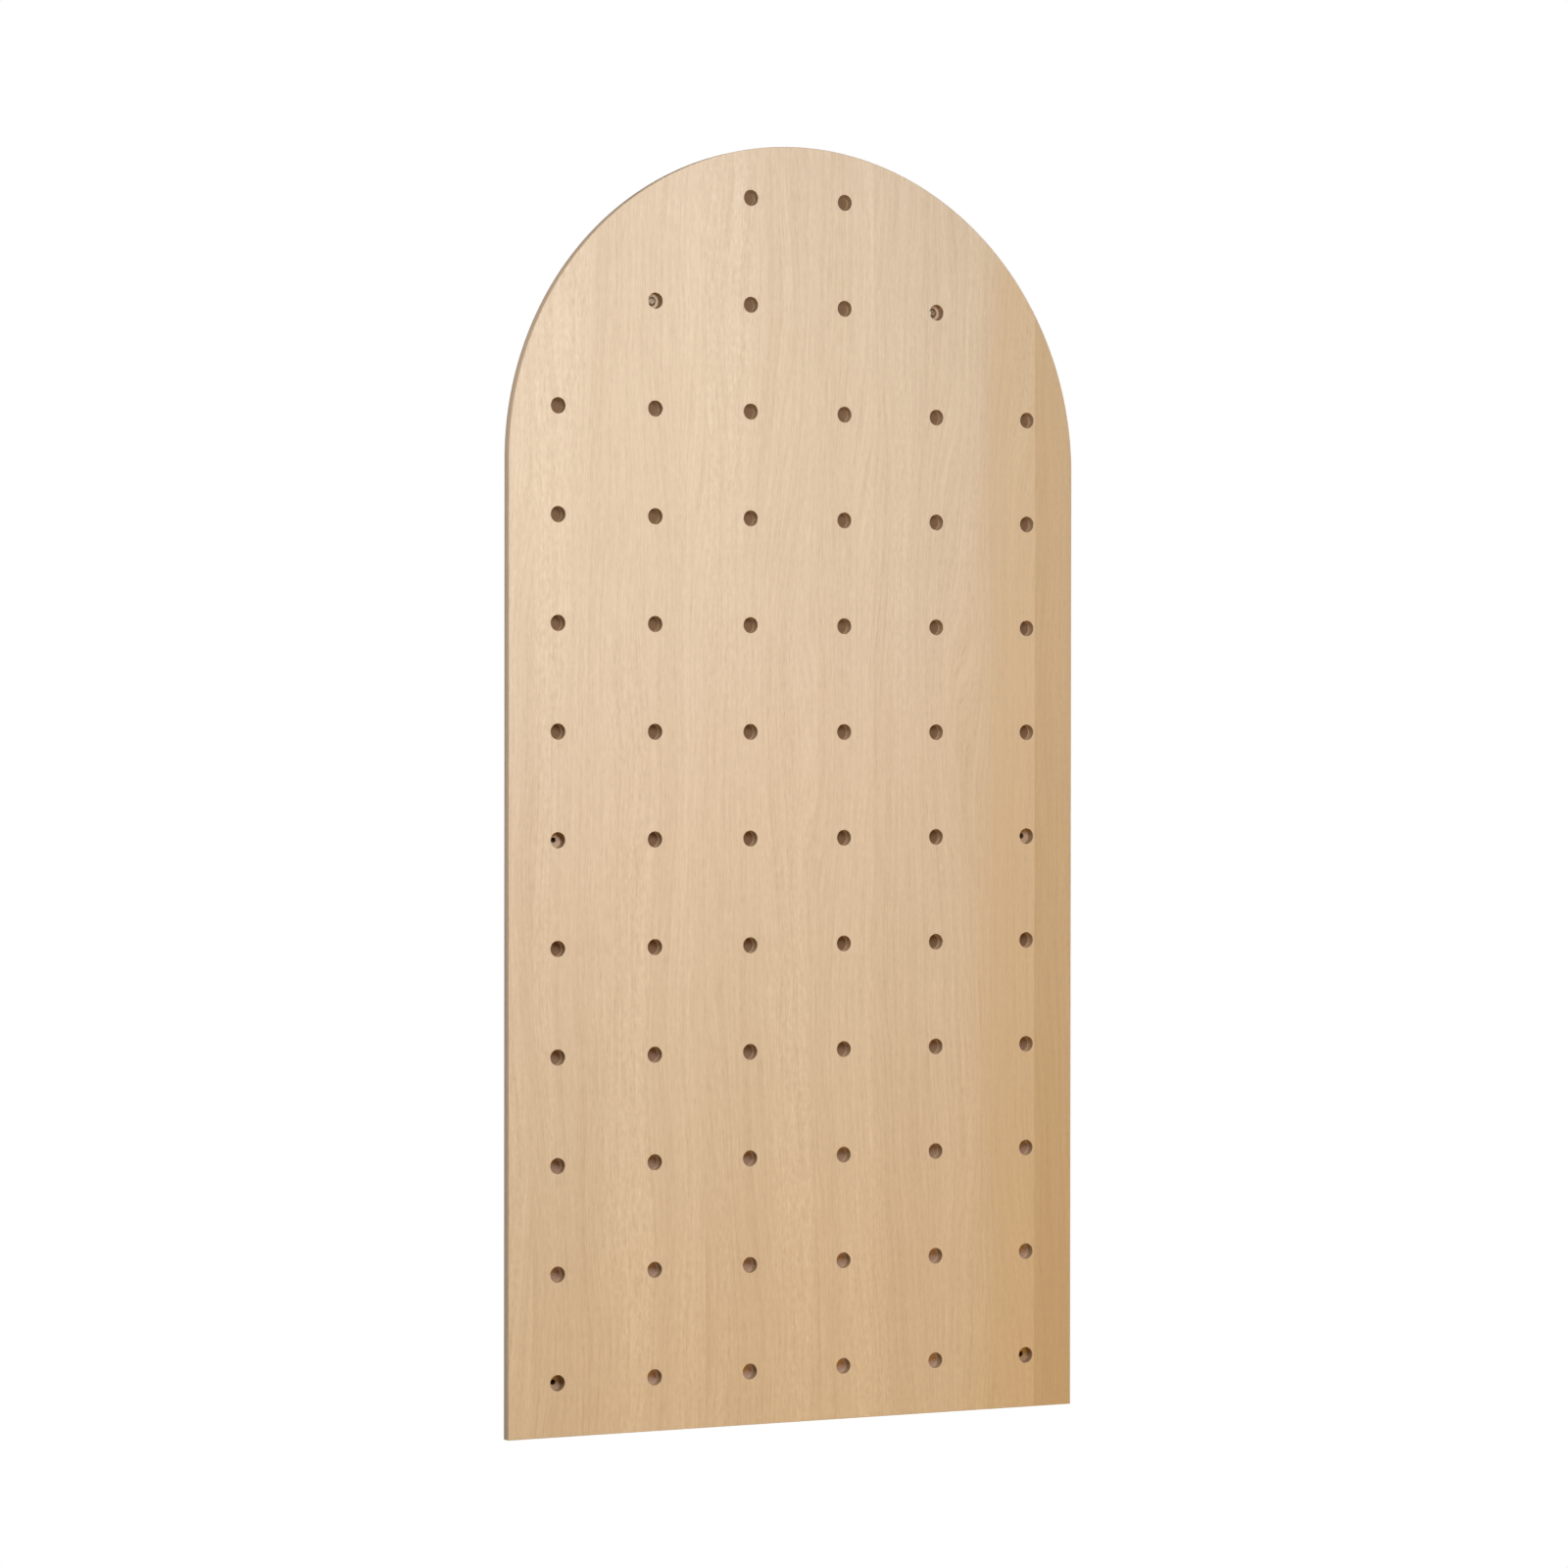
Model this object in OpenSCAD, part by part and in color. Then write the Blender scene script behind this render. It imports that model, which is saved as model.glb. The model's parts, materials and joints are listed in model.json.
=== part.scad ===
// Arched wall pegboard: a veneered board with a square grid of peg holes, standing off
// the wall on six turned spacers. The wall screws sit at the bottom of six of the holes.
// Millimetres. The wall is the plane Y = 0 and the board is in front of it, towards -Y.
// The origin is the centre of the square that the four lower wall fixings make.

/* [Board] */
// Width of the board over its edge bands
board_w = 600; // [480:10:720]
// Height of the board from the bottom edge to the top of the arch
board_h = 1200; // [960:10:1440]
// Thickness of the finished board
board_t = 10; // [8:0.5:19]
// Thickness of each face veneer
veneer_t = 0.6; // [0.5:0.1:1.2]
// Thickness of the veneer band on the edges
band_t = 0.6; // [0.5:0.1:2]

/* [Veneer leaves] */
// Width of the trimmed leaf at the left edge
left_leaf_w = 25; // [15:1:60]
// Width of the trimmed leaf at the right edge
right_leaf_w = 41; // [15:1:60]

/* [Peg holes] */
// Distance from one hole to the next, across and up
pitch = 100; // [80:5:125]
// Diameter of every peg hole
hole_d = 15; // [10:0.5:20]
// Height of the lowest row of holes above the bottom edge
first_row_z = 50; // [40:5:70]
// Least distance from a hole's centre to the edge of the board
edge_margin = 40; // [30:1:50]

/* [Wall fixings] */
// Row, counted from the bottom, that the middle pair of fixings is in
middle_fixing_row = 6; // [3:1:7]
// Diameter of a wall spacer
spacer_d = 30; // [22:1:40]
// Length of a wall spacer, which is the gap between the wall and the board
spacer_l = 20; // [12:1:40]
// Chamfer on the rims of a spacer
spacer_chamfer = 1; // [0.5:0.25:2]
// Diameter of the screw hole through a spacer
screw_hole_d = 5; // [5:0.1:6.5]

/* [Wall screws] */
// Diameter of the plain part of a wall screw
screw_d = 4.5; // [3.5:0.1:4.8]
// Diameter of the screw's head
head_d = 9; // [8:0.5:10]
// Height of the screw's head
head_h = 3; // [2:0.25:4]
// Length of the threaded part, which goes into the wall
thread_l = 28; // [20:1:50]
// Distance from one thread crest to the next
thread_pitch = 2; // [1.5:0.25:3]
// Depth of the thread
thread_depth = 0.7; // [0.4:0.1:0.9]
// Width of the arms of the cross recess
recess_w = 1.2; // [0.8:0.1:1.6]
// Depth of the cross recess
recess_depth = 1.6; // [1:0.1:2]

/* [Hidden] */

round_fn = 64;
arch_fn = 256;
overcut = 1;
full_leaf_count = 3;

// The arch is half a circle on top of straight sides.
arch_r = board_w / 2;
arch_z = board_h - arch_r;

// Board layers, from the wall outwards.
back_y = -spacer_l;
front_y = back_y - board_t;
core_back_y = back_y - veneer_t;
core_t = board_t - 2 * veneer_t;

// The full leaves share what the two trimmed leaves leave of the width.
full_leaf_w = (board_w - left_leaf_w - right_leaf_w) / full_leaf_count;
left_x = -board_w / 2;
leaf_seams = concat(
    [left_x],
    [for (i = [0 : full_leaf_count]) left_x + left_leaf_w + i * full_leaf_w],
    [-left_x]
);

// The hole grid, centred across the board. A hole is drilled where its centre stays
// edge_margin inside the outline.
columns = floor((board_w - 2 * edge_margin) / pitch) + 1;
rows = floor((board_h - first_row_z - edge_margin) / pitch) + 1;
function column_x(i) = (i - (columns - 1) / 2) * pitch;
function row_z(j) = first_row_z + j * pitch;
function reach(x, z) = z > arch_z ? norm([x, z - arch_z]) : abs(x);
function fits(x, z) = reach(x, z) <= arch_r - edge_margin;
holes = [
    for (j = [0 : rows - 1])
        for (i = [0 : columns - 1])
            if (fits(column_x(i), row_z(j))) [column_x(i), row_z(j)]
];

// The outermost hole of a row, to the right of the middle.
function outermost_x(j) =
    max([for (i = [0 : columns - 1]) if (fits(column_x(i), row_z(j))) column_x(i)]);

// The fixings share their holes with the grid: the outer holes of the bottom row, of the
// middle fixing row and of the second row from the top.
lower_row = 0;
middle_row = middle_fixing_row - 1;
upper_row = rows - 2;
origin_z = (row_z(lower_row) + row_z(middle_row)) / 2;

module outline(inset) {
    intersection() {
        union() {
            translate([inset - arch_r, inset])
                square([2 * (arch_r - inset), arch_z - inset]);
            translate([0, arch_z])
                circle(r = arch_r - inset, $fn = arch_fn);
        }
        translate([-arch_r, inset])
            square([2 * arch_r, board_h]);
    }
}

// Stands a flat outline up in the board, from the depth y_back out to y_back - depth.
module upright(y_back, depth) {
    translate([0, y_back, -origin_z])
        rotate([90, 0, 0])
            linear_extrude(height = depth)
                children();
}

module peg_holes() {
    for (p = holes)
        translate([p[0], back_y + overcut, p[1] - origin_z])
            rotate([90, 0, 0])
                cylinder(h = board_t + 2 * overcut, d = hole_d, $fn = round_fn);
}

module core_board() {
    color([0.48, 0.36, 0.25])
        difference() {
            upright(core_back_y, core_t) outline(band_t);
            peg_holes();
        }
}

module front_veneer_leaf(i) {
    color([0.86, 0.74, 0.60])
        difference() {
            upright(front_y + veneer_t, veneer_t)
                intersection() {
                    outline(band_t);
                    translate([leaf_seams[i], 0])
                        square([leaf_seams[i + 1] - leaf_seams[i], board_h]);
                }
            peg_holes();
        }
}

module back_veneer() {
    color([0.82, 0.70, 0.56])
        difference() {
            upright(back_y, veneer_t) outline(band_t);
            peg_holes();
        }
}

module edge_band_arch() {
    color([0.72, 0.63, 0.52])
        upright(back_y, board_t)
            difference() {
                outline(0);
                outline(band_t);
                translate([band_t - arch_r, -overcut])
                    square([2 * (arch_r - band_t), band_t + 2 * overcut]);
            }
}

module edge_band_base() {
    color([0.72, 0.63, 0.52])
        upright(back_y, board_t)
            translate([band_t - arch_r, 0])
                square([2 * (arch_r - band_t), band_t]);
}

module place_fixing(side, row) {
    translate([side * outermost_x(row), 0, row_z(row) - origin_z])
        children();
}

// A turned spacer from the wall to the board's back, with its screw hole along Y.
module spacer() {
    spacer_r = spacer_d / 2;
    rim_r = spacer_r - spacer_chamfer;
    color([0.78, 0.64, 0.46])
        difference() {
            rotate([90, 0, 0])
                rotate_extrude($fn = round_fn)
                    polygon([
                        [0, 0],
                        [rim_r, 0],
                        [spacer_r, spacer_chamfer],
                        [spacer_r, spacer_l - spacer_chamfer],
                        [rim_r, spacer_l],
                        [0, spacer_l]
                    ]);
            translate([0, overcut, 0])
                rotate([90, 0, 0])
                    cylinder(h = spacer_l + 2 * overcut, d = screw_hole_d, $fn = round_fn);
        }
}

// A pan-head wall screw. Its head seats on the spacer and its thread goes into the wall.
module wall_screw() {
    screw_r = screw_d / 2;
    root_r = screw_r - thread_depth;
    crests = floor(thread_l / thread_pitch) - 2;
    point_l = thread_l - crests * thread_pitch;
    head_r = head_d / 2;
    dome_h = head_h / 3;
    thread = [
        for (i = [0 : crests - 1])
            each [
                [screw_r, -i * thread_pitch],
                [root_r, -(i + 0.5) * thread_pitch]
            ]
    ];
    color([0.80, 0.66, 0.36])
        rotate([90, 0, 0])
            difference() {
                rotate_extrude($fn = round_fn)
                    polygon(concat(
                        [
                            [0, spacer_l + head_h],
                            [head_r - 2 * dome_h, spacer_l + head_h],
                            [head_r - dome_h / 2, spacer_l + head_h - dome_h],
                            [head_r, spacer_l + dome_h],
                            [head_r, spacer_l],
                            [screw_r, spacer_l]
                        ],
                        thread,
                        [
                            [screw_r, -crests * thread_pitch],
                            [0, -crests * thread_pitch - point_l]
                        ]
                    ));
                for (turn = [0, 90])
                    rotate([0, 0, turn])
                        translate([-head_r / 2, -recess_w / 2, spacer_l + head_h - recess_depth])
                            cube([head_r, recess_w, recess_depth + overcut]);
            }
}

core_board();
front_veneer_leaf(0);  // front_veneer_leaf_1
front_veneer_leaf(1);  // front_veneer_leaf_2
front_veneer_leaf(2);  // front_veneer_leaf_3
front_veneer_leaf(3);  // front_veneer_leaf_4
front_veneer_leaf(4);  // front_veneer_leaf_5
back_veneer();
edge_band_arch();
edge_band_base();
place_fixing(-1, upper_row) spacer();  // spacer_upper_left
place_fixing(1, upper_row) spacer();  // spacer_upper_right
place_fixing(-1, middle_row) spacer();  // spacer_middle_left
place_fixing(1, middle_row) spacer();  // spacer_middle_right
place_fixing(-1, lower_row) spacer();  // spacer_lower_left
place_fixing(1, lower_row) spacer();  // spacer_lower_right
place_fixing(-1, upper_row) wall_screw();  // wall_screw_left
place_fixing(1, upper_row) wall_screw();  // wall_screw_right
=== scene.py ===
"""Looks of the arched wall pegboard: oak veneers, edge bands, core, spacers and screws."""

import json
import math

import bmesh
import bpy
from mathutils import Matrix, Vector
from mathutils.geometry import delaunay_2d_cdt


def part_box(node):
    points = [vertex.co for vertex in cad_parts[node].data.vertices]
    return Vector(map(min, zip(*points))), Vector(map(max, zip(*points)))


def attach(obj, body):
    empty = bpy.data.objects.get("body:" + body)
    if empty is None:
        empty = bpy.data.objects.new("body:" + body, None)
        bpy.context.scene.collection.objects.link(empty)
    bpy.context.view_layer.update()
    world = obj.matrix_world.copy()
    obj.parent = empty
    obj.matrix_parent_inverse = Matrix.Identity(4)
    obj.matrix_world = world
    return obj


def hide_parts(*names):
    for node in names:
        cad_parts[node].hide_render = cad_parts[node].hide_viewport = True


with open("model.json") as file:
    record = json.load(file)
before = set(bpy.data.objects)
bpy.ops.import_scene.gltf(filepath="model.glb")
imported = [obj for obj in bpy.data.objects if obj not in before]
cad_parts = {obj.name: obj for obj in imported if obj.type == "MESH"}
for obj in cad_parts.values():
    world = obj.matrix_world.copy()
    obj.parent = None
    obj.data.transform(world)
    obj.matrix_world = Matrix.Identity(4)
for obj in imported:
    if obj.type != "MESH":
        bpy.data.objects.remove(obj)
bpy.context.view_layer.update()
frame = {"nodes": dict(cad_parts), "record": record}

# ------------------------------------------------------------------ sizes, in metres

BODY = "root"
LEAF_COUNT = 5
SPACERS = [name for name in frame["nodes"] if name.startswith("spacer_")]
SCREWS = [name for name in frame["nodes"] if name.startswith("wall_screw_")]

HOLE_EASE = 0.0003    # rounding of a hole's sanded rims
EDGE_EASE = 0.0004    # rounding of the board's banded edges
EASE_STEPS = 3
HOLE_SIDES = 48
ARCH_SIDES = 180
SHARP_TURN = math.radians(35)    # faces that turn by more than this meet in a sharp edge
SAME_POINT = 1e-9                # corners nearer to each other than this are one

board_low, board_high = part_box("edge_band_arch")
inner_low, inner_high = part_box("back_veneer")
band_t = inner_low.x - board_low.x
arch_r = (board_high.x - board_low.x) / 2
arch_z = board_high.z - arch_r
base_z = board_low.z
front_y = board_low.y
back_y = board_high.y

# The full leaves are cut one after another from one log, so their figures are alike.
full_leaf_low, full_leaf_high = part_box("front_veneer_leaf_2")
leaf_w = full_leaf_high.x - full_leaf_low.x


def middle(node):
    """The middle of a CAD node."""
    low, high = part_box(node)
    return (low + high) / 2


def mounts(start):
    """The record's mounts whose names start this way."""
    return [mount for mount in frame["record"]["mounts"] if mount["name"].startswith(start)]


# Every hole of the board, as (x, z). The record states two of them as openings and not as
# mounts, and those two are where the wall screws are.
hole_r = mounts("peg_hole")[0]["dims"]["r_mm"] / 1000
bore_r = mounts("screw_hole")[0]["dims"]["r_mm"] / 1000
holes = [(mount["pos_m"][0], mount["pos_m"][2]) for mount in mounts("peg_hole")]
holes += [(middle(screw).x, middle(screw).z) for screw in SCREWS]


# ------------------------------------------------------------------ mesh building

class Solid:
    """The corners and faces of one closed piece, while it is put together."""

    def __init__(self):
        self.corners = []
        self.faces = []
        self.smooth = []

    def ring(self, points):
        """Adds corners, and gives their numbers."""
        first = len(self.corners)
        self.corners += points
        return list(range(first, len(self.corners)))

    def face(self, ring, smooth=False):
        self.faces.append(ring)
        self.smooth.append(smooth)

    def wall(self, rings):
        """Joins each closed ring of corners to the next one."""
        for near, far in zip(rings, rings[1:]):
            for i, j in zip(range(len(near)), list(range(1, len(near))) + [0]):
                self.face([near[i], near[j], far[j], far[i]], smooth=True)

    def cap(self, rings):
        """Closes a flat upright outline, the first ring, around its holes, the others."""
        numbers = [number for ring in rings for number in ring]
        owner = [place for place, ring in enumerate(rings) for _ in ring]
        edges = []
        first = 0
        for ring in rings:
            count = len(ring)
            edges += [(first + i, first + (i + 1) % count) for i in range(count)]
            first += count
        flat = [Vector((self.corners[n][0], self.corners[n][2])) for n in numbers]
        made = delaunay_2d_cdt(flat, edges, [], 0, SAME_POINT)
        triangles, origins = made[2], made[3]
        for triangle in triangles:
            sources = [origins[i][0] for i in triangle]
            owners = {owner[source] for source in sources}
            if len(owners) > 1 or 0 in owners:
                self.face([numbers[source] for source in sources])

    def piece(self, name, node, slot, material):
        """The finished piece, which rides on the board and stands for a CAD node."""
        mesh = bpy.data.meshes.new(name)
        mesh.from_pydata(self.corners, [], self.faces)
        work = bmesh.new()
        work.from_mesh(mesh)
        bmesh.ops.recalc_face_normals(work, faces=work.faces)
        work.to_mesh(mesh)
        work.free()
        mesh.set_sharp_from_angle(angle=SHARP_TURN)
        mesh.polygons.foreach_set("use_smooth", self.smooth)
        mesh.materials.append(material)
        made = bpy.data.objects.new(name, mesh)
        bpy.context.scene.collection.objects.link(made)
        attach(made, BODY)
        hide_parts(node)


def arc(centre_x, centre_z, radius, start, end, sides):
    """Points on an arc from one angle to another, both included."""
    turns = [start + (end - start) * i / sides for i in range(sides + 1)]
    return [(centre_x + radius * math.cos(t), centre_z + radius * math.sin(t)) for t in turns]


def circle(centre_x, centre_z, radius, sides):
    """Points round a whole circle."""
    return arc(centre_x, centre_z, radius, 0, 2 * math.pi, sides)[:-1]


def at_depth(points, depth):
    """Corners at one depth, from the points of an upright outline."""
    return [(x, depth, z) for x, z in points]


def eased_corner(ease, face_y, inwards):
    """(distance from the side, depth) along a rounding, from the face at face_y to the side."""
    if ease == 0:
        return [(0, face_y)]
    turns = [math.pi / 2 * i / EASE_STEPS for i in range(EASE_STEPS + 1)]
    return [
        (ease * (1 - math.sin(t)), face_y + inwards * ease * (1 - math.cos(t)))
        for t in turns
    ]


def leaf_outline(left, right):
    """The part of the arched outline inside the edge bands that is between two seams."""
    radius = arch_r - band_t
    start = math.acos(min(1, right / radius))
    end = math.acos(max(-1, left / radius))
    sides = round(ARCH_SIDES * (end - start) / math.pi)
    base = base_z + band_t
    return [(left, base), (right, base)] + arc(0, arch_z, radius, start, end, sides)


def sheet(outline, centres, near_y, far_y, near_ease, far_ease):
    """A flat upright sheet with round holes, from the depth near_y to far_y."""
    solid = Solid()
    near_rings = [solid.ring(at_depth(outline, near_y))]
    far_rings = [solid.ring(at_depth(outline, far_y))]
    solid.wall(near_rings + far_rings)
    rim = eased_corner(near_ease, near_y, 1)
    rim += reversed(eased_corner(far_ease, far_y, -1))
    for x, z in centres:
        rings = []
        for wider, depth in rim:
            rim_points = circle(x, z, hole_r + wider, HOLE_SIDES)
            rings.append(solid.ring(at_depth(rim_points, depth)))
        solid.wall(rings)
        near_rings.append(rings[0])
        far_rings.append(rings[-1])
    solid.cap(near_rings)
    solid.cap(far_rings)
    return solid


def strip(path):
    """An edge band along path(distance in from the edge), with its outer corners eased."""
    section = [(band_t, front_y)]
    section += eased_corner(EDGE_EASE, front_y, 1)
    section += reversed(eased_corner(EDGE_EASE, back_y, -1))
    section.append((band_t, back_y))
    rails = [at_depth(path(inset), depth) for inset, depth in section]
    solid = Solid()
    rings = [solid.ring(list(points)) for points in zip(*rails)]
    solid.wall(rings)
    solid.face(rings[0])
    solid.face(rings[-1])
    return solid


def arch_path(inset):
    """Up the left edge, over the arch and down the right edge."""
    radius = arch_r - inset
    over = arc(0, arch_z, radius, math.pi, 0, ARCH_SIDES)
    return [(-radius, base_z)] + over + [(radius, base_z)]


def base_path(inset):
    """Along the bottom edge, between the ends of the arch band."""
    half = arch_r - band_t
    return [(-half, base_z + inset), (half, base_z + inset)]


# ------------------------------------------------------------------ material building

class Finish:
    """One procedural material, and short ways to add nodes to it."""

    def __init__(self, name):
        self.material = bpy.data.materials.new(name)
        self.material.use_nodes = True
        self.tree = self.material.node_tree
        self.tree.nodes.clear()
        self.shader = self.add("ShaderNodeBsdfPrincipled")
        output = self.add("ShaderNodeOutputMaterial")
        self.tree.links.new(self.shader.outputs["BSDF"], output.inputs["Surface"])
        self.place = self.add("ShaderNodeTexCoord").outputs["Object"]

    def add(self, kind, **settings):
        node = self.tree.nodes.new(kind)
        for key, value in settings.items():
            setattr(node, key, value)
        return node

    def put(self, socket, value):
        """Links a socket, or sets a plain value."""
        if isinstance(value, bpy.types.NodeSocket):
            self.tree.links.new(value, socket)
        elif isinstance(value, tuple) and len(value) == 3 and socket.type == "RGBA":
            socket.default_value = (*value, 1)
        else:
            socket.default_value = value

    def math(self, operation, *values):
        node = self.add("ShaderNodeMath", operation=operation)
        for socket, value in zip(node.inputs, values):
            self.put(socket, value)
        return node.outputs[0]

    def axes(self):
        """The x, y and z of the point on the part, in metres."""
        node = self.add("ShaderNodeSeparateXYZ")
        self.put(node.inputs[0], self.place)
        return node.outputs[0], node.outputs[1], node.outputs[2]

    def distance(self, across, up):
        """How far off a point is that lies this far across and this far up."""
        squares = [self.math("MULTIPLY", side, side) for side in (across, up)]
        return self.math("SQRT", self.math("ADD", *squares))

    def point(self, x, y, z, scale):
        """A point made from three values, each times its scale."""
        node = self.add("ShaderNodeCombineXYZ")
        for socket, value, times in zip(node.inputs, (x, y, z), scale):
            self.put(socket, self.math("MULTIPLY", value, times))
        return node.outputs[0]

    def noise(self, point, detail, roughness=0.5):
        """Soft noise. The scale of the point sets how many patches there are in a metre."""
        node = self.add("ShaderNodeTexNoise")
        self.put(node.inputs["Vector"], point)
        self.put(node.inputs["Scale"], 1.0)
        self.put(node.inputs["Detail"], detail)
        self.put(node.inputs["Roughness"], roughness)
        return node.outputs["Fac"]

    def levels(self, value, low, high, to_low=0.0, to_high=1.0):
        """A soft step of value from low to high."""
        node = self.add("ShaderNodeMapRange", interpolation_type="SMOOTHSTEP")
        for socket, number in zip(node.inputs, (value, low, high, to_low, to_high)):
            self.put(socket, number)
        return node.outputs[0]

    def sum(self, start, *layers):
        """start plus each layer's weight times its distance from a half."""
        total = start
        for value, weight in layers:
            shifted = self.math("SUBTRACT", value, 0.5)
            total = self.math("ADD", total, self.math("MULTIPLY", shifted, weight))
        return total

    def mix(self, amount, first, second):
        """The colour between two colours, by amount."""
        node = self.add("ShaderNodeMix", data_type="RGBA", clamp_factor=True)
        sockets = {socket.identifier: socket for socket in node.inputs}
        self.put(sockets["Factor_Float"], amount)
        self.put(sockets["A_Color"], first)
        self.put(sockets["B_Color"], second)
        return next(s for s in node.outputs if s.identifier == "Result_Color")

    def bump(self, height, distance):
        node = self.add("ShaderNodeBump")
        self.put(node.inputs["Height"], height)
        self.put(node.inputs["Distance"], distance)
        self.put(self.shader.inputs["Normal"], node.outputs[0])

    def surface(self, colour, roughness, **constants):
        self.put(self.shader.inputs["Base Color"], colour)
        self.put(self.shader.inputs["Roughness"], roughness)
        for name, value in constants.items():
            self.put(self.shader.inputs[name.replace("_", " ")], value)
        return self.material


# ------------------------------------------------------------------ materials
# Colours are linear, without any light on them, except the painted shade of the spacers' bores
# and of the sheet behind the holes.

OAK_PALE = (0.90, 0.715, 0.535)
OAK_DEEP = (0.60, 0.425, 0.275)
OAK_PORE = (0.44, 0.29, 0.17)
OAK_AMBER = (0.70, 0.455, 0.215)
PORE_STRENGTH = 0.24
OAK_RELIEF = 0.00006


# Each noise of the oak is read at a place of its own: the seed plus a number, or its depth.

def wandering(finish, across, along, seed):
    """The way across, bent so that growth rings lean and wander a little."""
    slow = finish.noise(finish.point(across, seed, along, (6, 1, 1.3)), detail=1)
    wander = finish.noise(finish.point(across, seed + 5, along, (14, 1, 2.8)), detail=1)
    return finish.sum(across, (slow, 0.080), (wander, 0.046))


def open_pores(finish, ring_x, depth, along, ring):
    """Short open pores, most of them in the early wood of each ring."""
    dash = finish.noise(finish.point(ring_x, depth, along, (3300, 900, 85)), detail=1)
    early = finish.levels(ring, 0.44, 0.62)
    return finish.levels(finish.sum(dash, (early, 0.07)), 0.58, 0.72)


def ray_fleck(finish, across, along, seed, patch):
    """The fine shimmering hatch of the rays, stronger in some patches."""
    area = finish.levels(patch, 0.48, 0.70, 0.26, 0.62)
    spot = finish.noise(finish.point(across, seed + 3, along, (420, 1, 170)), detail=1)
    return finish.math("MULTIPLY", finish.math("SUBTRACT", spot, 0.5), area)


def oak(name, across, along, depth, seed, light_band=None, deeper=0.0, amber=None):
    """Oak with its grain along one way. across, along and depth make distances in metres."""
    finish = Finish(name)
    across, along, depth = across(finish), along(finish), depth(finish)
    ring_x = wandering(finish, across, along, seed)

    patch = finish.noise(finish.point(ring_x, seed + 1, along, (22, 1, 1.1)), detail=1)
    ring = finish.noise(finish.point(ring_x, seed + 2, along, (260, 1, 2.6)), detail=2)
    fibre = finish.noise(finish.point(ring_x, depth, along, (800, 300, 16)), detail=3)
    thread = finish.noise(finish.point(across, depth, along, (1500, 900, 70)), detail=2)
    pore = open_pores(finish, ring_x, depth, along, ring)

    tone = finish.sum(
        0.60 - deeper, (patch, 0.40), (ring, -0.32), (fibre, 0.66), (thread, 0.56)
    )
    tone = finish.math("ADD", tone, ray_fleck(finish, across, along, seed, patch))
    if light_band:
        tone = finish.math("ADD", tone, light_band(finish, ring_x))
    wood = finish.mix(tone, OAK_DEEP, OAK_PALE)
    if amber:
        wood = finish.mix(amber(finish, ring_x), wood, OAK_AMBER)
    colour = finish.mix(finish.math("MULTIPLY", pore, PORE_STRENGTH), wood, OAK_PORE)

    rough = finish.sum(0.50, (fibre, 0.10), (pore, 0.12))
    finish.bump(finish.sum(0.8, (fibre, 0.25), (pore, -0.7)), OAK_RELIEF)
    return finish.surface(colour, rough, IOR=1.45, Specular_IOR_Level=0.35)


def object_axis(number, shift=0.0):
    """Gives a function that makes one coordinate of the point on the part, plus a shift."""
    def coordinate(finish):
        return finish.math("ADD", finish.axes()[number], shift)
    return coordinate


def amber_leaf(finish, across):
    """The amber of the trimmed leaf at the right edge, nearly even over it."""
    return finish.levels(across, 0, 0.03 * leaf_w, 0.38, 0.44)


def amber_side(finish, across):
    """The amber of the leaf next to it, which starts half way towards their seam."""
    return finish.levels(across, 0.50 * leaf_w, 0.84 * leaf_w, 0, 0.42)


# How much deeper a leaf is than the others, and where it turns amber.
LEAF_SHADES = {1: (0.04, None), LEAF_COUNT - 1: (0, amber_side), LEAF_COUNT: (0.30, amber_leaf)}


def leaf_tone(finish, across):
    """A paler stripe in the last third of each leaf, and a deeper start just past its seam."""
    pale = finish.levels(across, 0.62 * leaf_w, 0.80 * leaf_w, 0, 0.05)
    start = finish.levels(across, 0, 0.20 * leaf_w, -0.03, 0)
    return finish.math("ADD", pale, start)


def face_oak(number, left):
    """Face veneer. The figure repeats in each leaf, and changes slowly from leaf to leaf."""
    deeper, amber = LEAF_SHADES.get(number, (0, None))
    return oak(
        f"oak_face_leaf_{number}", object_axis(0, -left), object_axis(2), object_axis(1),
        seed=0.22 * number, light_band=leaf_tone, deeper=deeper, amber=amber,
    )


def band_length(finish):
    """Distance along the edge from the middle of the arch, the same way on both sides."""
    x, _, z = finish.axes()
    above = finish.math("SUBTRACT", z, arch_z)
    turn = finish.math("ARCTAN2", finish.math("ABSOLUTE", x), finish.math("MAXIMUM", above, 0))
    below = finish.math("MINIMUM", above, 0)
    return finish.math("SUBTRACT", finish.math("MULTIPLY", turn, arch_r), below)


FIBRE_DEEP = (0.28, 0.165, 0.085)
FIBRE_PALE = (0.61, 0.405, 0.235)
FIBRE_RELIEF = 0.00015


def core_fibre():
    """Pressed wood fibre, as the walls of the holes show it."""
    finish = Finish("pressed_fibre")
    x, y, z = finish.axes()
    flake = finish.noise(finish.point(x, y, z, (420, 1500, 420)), detail=3, roughness=0.65)
    grit = finish.noise(finish.point(x, y, z, (2600, 2600, 2600)), detail=2)
    layer = finish.noise(finish.point(x, y, z, (30, 900, 30)), detail=1)
    tone = finish.sum(0.5, (flake, 1.1), (grit, 0.8), (layer, 0.5))
    colour = finish.mix(tone, FIBRE_DEEP, FIBRE_PALE)
    finish.bump(finish.sum(0.5, (flake, 1), (grit, 0.6)), FIBRE_RELIEF)
    return finish.surface(colour, finish.sum(0.82, (grit, 0.15)), Specular_IOR_Level=0.2)


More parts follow.
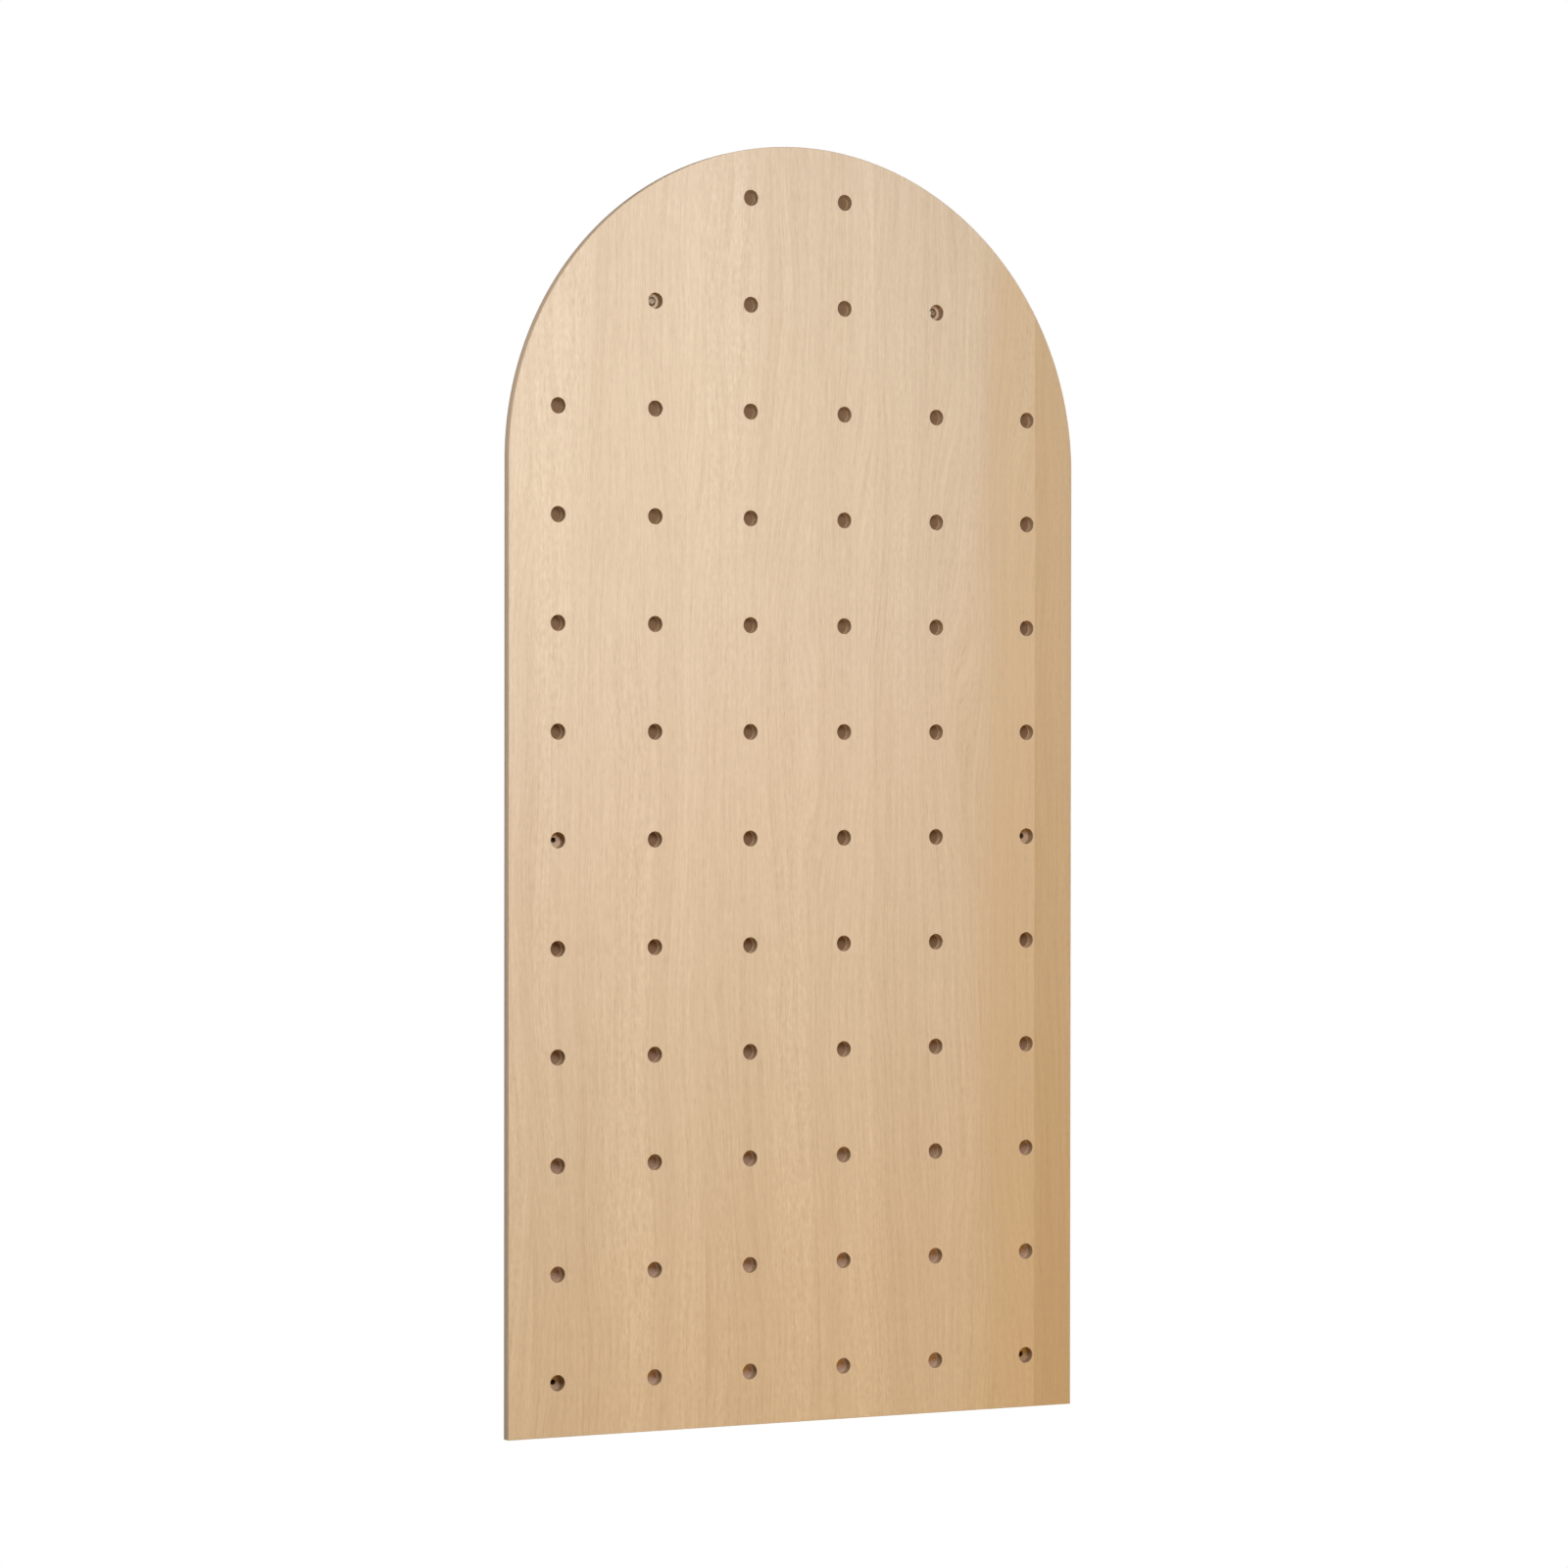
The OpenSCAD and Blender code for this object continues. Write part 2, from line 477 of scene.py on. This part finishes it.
BEECH_DEEP = (0.31, 0.20, 0.115)
BEECH_PALE = (0.66, 0.47, 0.315)
# Painted shade: the dark brown of a screw bore's walls, which are deep in shade.
BORE_PAINTED_SHADE = (0.20, 0.105, 0.045)
BEECH_RELIEF = 0.00005
HEART_ACROSS = 0.021    # from a spacer's axis to the heart of its log, to the right
HEART_DOWN = 0.034      # and down
RINGS_PER_METRE = 520
RING_WAVE = 0.004
TOOL_MARK_PITCH = 0.0006
BORE_RIM = 0.0002       # width of the step from the wood's colour to the painted shade in the bore


def beech_ring(finish, x, y, z, centre):
    """How far a point is from one growth ring towards the next."""
    heart_x = finish.math("SUBTRACT", x, centre.x + HEART_ACROSS)
    heart_z = finish.math("SUBTRACT", z, centre.z - HEART_DOWN)
    bend = finish.noise(finish.point(x, y, z, (60, 8, 60)), detail=2)
    bent = finish.math("MULTIPLY", bend, RING_WAVE)
    ring_r = finish.math("ADD", finish.distance(heart_x, heart_z), bent)
    return finish.math("FRACT", finish.math("MULTIPLY", ring_r, RINGS_PER_METRE))


def tool_mark(finish, off_axis, y):
    """The fine turned grooves, round the spacer's side and on its ends."""
    lathe_way = finish.math("ADD", off_axis, y)
    turns = finish.math("MULTIPLY", lathe_way, 2 * math.pi / TOOL_MARK_PITCH)
    return finish.math("SINE", turns)


def turned_beech(name, centre):
    """Turned beech: streaks along the spacer, rings and tool marks on its ends, and painted shade
    in its bore.
    """
    finish = Finish(name)
    x, y, z = finish.axes()
    ring = beech_ring(finish, x, y, z, centre)
    fibre = finish.noise(finish.point(x, y, z, (1300, 45, 1300)), detail=3)
    ray = finish.noise(finish.point(x, y, z, (2400, 420, 900)), detail=1)
    dark_ray = finish.levels(ray, 0.60, 0.72)
    tone = finish.sum(0.62, (ring, -0.22), (fibre, 0.75), (dark_ray, -0.12))
    wood = finish.mix(tone, BEECH_DEEP, BEECH_PALE)

    off_x = finish.math("SUBTRACT", x, centre.x)
    off_z = finish.math("SUBTRACT", z, centre.z)
    off_axis = finish.distance(off_x, off_z)
    # The bore's walls are painted dark brown as shade, and made fully rough.
    bore_shade_mask = finish.levels(off_axis, bore_r, bore_r + BORE_RIM, 1, 0)
    colour = finish.mix(bore_shade_mask, wood, BORE_PAINTED_SHADE)
    mark = tool_mark(finish, off_axis, y)
    finish.bump(finish.sum(0.5, (fibre, 1.0), (mark, 0.16)), BEECH_RELIEF)
    rough = finish.math("MAXIMUM", finish.sum(0.58, (fibre, 0.2)), bore_shade_mask)
    return finish.surface(colour, rough, Specular_IOR_Level=0.35)


ZINC_GOLD = (0.50, 0.38, 0.25)
ZINC_GREEN = (0.48, 0.40, 0.29)
ZINC_ROSE = (0.50, 0.36, 0.27)
ZINC_RELIEF = 0.00001


def yellow_zinc():
    """Yellow zinc plating, with faint clouds of green and rose."""
    finish = Finish("yellow_zinc")
    x, y, z = finish.axes()
    cloud = finish.noise(finish.point(x, y, z, (260, 260, 260)), detail=2)
    scratch = finish.noise(finish.point(x, y, z, (5200, 1400, 700)), detail=2)
    gold = finish.mix(finish.levels(cloud, 0.35, 0.65), ZINC_GOLD, ZINC_GREEN)
    colour = finish.mix(finish.levels(cloud, 0.58, 0.75, 0, 0.6), gold, ZINC_ROSE)
    finish.bump(scratch, ZINC_RELIEF)
    rough = finish.sum(0.50, (scratch, 0.25), (cloud, 0.15))
    return finish.surface(colour, rough, Metallic=1.0)


# ------------------------------------------------------------------ the pieces

def front_leaves():
    """The five leaves. The first has lost its left part, so its figure starts off the board."""
    for number in range(1, LEAF_COUNT + 1):
        node = f"front_veneer_leaf_{number}"
        low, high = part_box(node)
        figure_left = high.x - leaf_w if number == 1 else low.x
        centres = [(x, z) for x, z in holes if low.x < x < high.x]
        solid = sheet(leaf_outline(low.x, high.x), centres, low.y, high.y, HOLE_EASE, 0)
        solid.piece(f"face_leaf_{number}", node, "oak_face_veneer", face_oak(number, figure_left))


def back_sheet():
    solid = sheet(
        leaf_outline(inner_low.x, inner_high.x), holes, inner_low.y, inner_high.y, 0, HOLE_EASE
    )
    wood = oak("oak_back", object_axis(0), object_axis(2), object_axis(1), seed=4.1, deeper=0.04)
    solid.piece("back_leaf", "back_veneer", "oak_back_veneer", wood)


def edge_bands():
    sides = oak("oak_band_arch", object_axis(1), band_length, object_axis(0), 7.3, deeper=0.25)
    base = oak("oak_band_base", object_axis(1), object_axis(0), object_axis(2), 8.9, deeper=0.25)
    strip(arch_path).piece("band_arch", "edge_band_arch", "oak_edge_band", sides)
    strip(base_path).piece("band_base", "edge_band_base", "oak_edge_band", base)


def finish_cad_nodes():
    """Gives the CAD nodes that stay in view their materials."""
    zinc = yellow_zinc()
    looks = {"core_board": core_fibre()}
    for name in SCREWS:
        looks[name] = zinc
    for name in SPACERS:
        looks[name] = turned_beech(f"beech_{name}", middle(name))
    for name, material in looks.items():
        for slot in frame["nodes"][name].material_slots:
            slot.material = material


# ------------------------------------------------------------------ camera, light and stage

# The camera was fitted to the outline and the holes in the photo.
CAMERA_PLACE = (-2.42551, -4.56095, 0.34581)
CAMERA_TURN = (89.50055, -0.0603, -28.0176)
CAMERA_LENS_MM = 125.34
SENSOR_MM = 36.0
CAMERA_REACH = 50


def camera():
    data = bpy.data.cameras.new("photo_view")
    data.lens = CAMERA_LENS_MM
    data.sensor_width = SENSOR_MM
    data.clip_end = CAMERA_REACH
    made = bpy.data.objects.new("photo_view", data)
    made.location = CAMERA_PLACE
    made.rotation_euler = [math.radians(angle) for angle in CAMERA_TURN]
    bpy.context.scene.collection.objects.link(made)
    bpy.context.scene.camera = made


LIGHT_AIM = (0, front_y, 0.3)    # the middle of the face


def softbox(name, place, size, watts, colour):
    """A square light that faces the board, and isn't seen itself."""
    data = bpy.data.lights.new(name, "AREA")
    data.shape = "SQUARE"
    data.size = size
    data.energy = watts
    data.color = colour
    made = bpy.data.objects.new(name, data)
    made.location = place
    way = Vector(LIGHT_AIM) - Vector(place)
    made.rotation_euler = way.to_track_quat("-Z", "Y").to_euler()
    made.visible_camera = False
    bpy.context.scene.collection.objects.link(made)
    return made


def lights():
    softbox("key", (-0.38, -1.4, 0.90), size=0.6, watts=20.4, colour=(0.86, 0.915, 0.975))
    softbox("warm_fill", (0.2, -1.2, -0.6), size=0.8, watts=5.1, colour=(1.0, 0.60, 0.03))
    softbox("left_side", (-2.6, 0.5, 1.7), size=1.4, watts=34, colour=(0.96, 0.96, 0.98))
    softbox("right_side", (2.6, 0.5, 0.7), size=1.4, watts=22, colour=(1.0, 0.97, 0.94))
    behind = softbox("back", (0.9, 2.6, 1.5), size=1.6, watts=60, colour=(1.0, 1.0, 1.0))
    behind.visible_glossy = False


ROOM_SEEN = (1, 1, 1, 1)
ROOM_FELT = (1, 0.95, 0.88, 1)
ROOM_FELT_STRENGTH = 0.10


def white_room():
    """A plain white background that gives only a little light itself."""
    world = bpy.data.worlds.new("white_room")
    world.use_nodes = True
    bpy.context.scene.world = world
    tree = world.node_tree
    tree.nodes.clear()
    seen = tree.nodes.new("ShaderNodeBackground")
    seen.inputs["Color"].default_value = ROOM_SEEN
    felt = tree.nodes.new("ShaderNodeBackground")
    felt.inputs["Color"].default_value = ROOM_FELT
    felt.inputs["Strength"].default_value = ROOM_FELT_STRENGTH
    rays = tree.nodes.new("ShaderNodeLightPath")
    mixed = tree.nodes.new("ShaderNodeMixShader")
    output = tree.nodes.new("ShaderNodeOutputWorld")
    tree.links.new(rays.outputs["Is Camera Ray"], mixed.inputs[0])
    tree.links.new(felt.outputs[0], mixed.inputs[1])
    tree.links.new(seen.outputs[0], mixed.inputs[2])
    tree.links.new(mixed.outputs[0], output.inputs["Surface"])


def stage_sheet(name, corners, faces, finish):
    """A thin piece of the stage, which is no part of the object."""
    mesh = bpy.data.meshes.new(name)
    mesh.from_pydata(corners, [], faces)
    mesh.materials.append(finish.material)
    made = bpy.data.objects.new(name, mesh)
    bpy.context.scene.collection.objects.link(made)
    return made


FLOOR_Z = -1.2
FLOOR_R = 4.0
FLOOR_FADE_R = 0.3 * FLOOR_R    # where the floor starts to fade
FLOOR_OPACITY = 0.6
FLOOR_SIDES = 96
FLOOR_DEEP = (0.83, 0.76, 0.64)
FLOOR_PALE = (0.87, 0.80, 0.69)


def floor():
    """A plain pale floor that fades into the white room."""
    finish = Finish("pale_floor")
    x, y, _ = finish.axes()
    from_middle = finish.distance(x, y)
    grain = finish.noise(finish.point(x, y, 0, (6, 6, 1)), detail=3)
    finish.surface(finish.mix(grain, FLOOR_DEEP, FLOOR_PALE), 0.9)
    opacity = finish.levels(from_middle, FLOOR_FADE_R, FLOOR_R, FLOOR_OPACITY, 0)
    finish.put(finish.shader.inputs["Alpha"], opacity)
    rim = [(x, y, FLOOR_Z) for x, y in circle(0, 0, FLOOR_R, FLOOR_SIDES)]
    stage_sheet("floor", rim, [list(range(len(rim)))], finish)


# A dark sheet of painted shade just behind the board, in place of the shaded wall that the holes
# look onto.
SHADE_SHEET_INSET = 0.03
SHADE_SHEET_GAP = 0.001
SHADE_SHEET_OPENING_R = 2 * bore_r    # round a spacer's bore, inside its wood
SHADE_SHEET_SIDES = 64
SHADE_FOOT = base_z - 0.05         # height where the painted shade would be palest
SHADE_TOP = 0.2                    # height from which it is darkest
SHADE_PALE = (0.56, 0.375, 0.30)
SHADE_DARK = (0.19, 0.103, 0.05)


def hole_shade():
    """Painted shade behind the holes, dark brown and darker towards the top, clear when it is
    seen from behind.
    """
    finish = Finish("hole_shade")
    behind = finish.add("ShaderNodeNewGeometry").outputs["Backfacing"]
    x, y, z = finish.axes()
    grain = finish.noise(finish.point(x, y, z, (90, 90, 90)), detail=3)
    # The painted shade is paler low down and darker towards the top.
    height = finish.levels(z, SHADE_FOOT, SHADE_TOP)
    shade = finish.sum(height, (grain, 0.2))
    finish.surface(finish.mix(shade, SHADE_PALE, SHADE_DARK), 0.9)
    finish.put(finish.shader.inputs["Alpha"], finish.math("SUBTRACT", 1, behind))
    return finish


def painted_shade_sheet():
    """A sheet of painted shade that the holes look onto, open at the spacers, and a disc of
    painted shade behind each bore.
    """
    radius = arch_r - SHADE_SHEET_INSET
    foot = base_z + SHADE_SHEET_INSET
    depth = back_y + SHADE_SHEET_GAP
    outline = [(-radius, foot), (radius, foot)]
    outline += arc(0, arch_z, radius, 0, math.pi, SHADE_SHEET_SIDES)
    solid = Solid()
    rings = [solid.ring(at_depth(outline, depth))]
    for name in SPACERS:
        centre = middle(name)
        wall_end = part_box(name)[1].y
        opening = circle(centre.x, centre.z, SHADE_SHEET_OPENING_R, HOLE_SIDES)
        rings.append(solid.ring(at_depth(opening, depth)))
        solid.face(solid.ring(at_depth(opening, wall_end + SHADE_SHEET_GAP)))
    solid.cap(rings)
    made = stage_sheet("painted_shade_sheet", solid.corners, solid.faces, hole_shade())
    made.visible_diffuse = False
    made.visible_glossy = False
    made.visible_shadow = False


front_leaves()
back_sheet()
edge_bands()
finish_cad_nodes()
camera()
lights()
white_room()
floor()
painted_shade_sheet()
bpy.context.scene.view_settings.view_transform = "Standard"
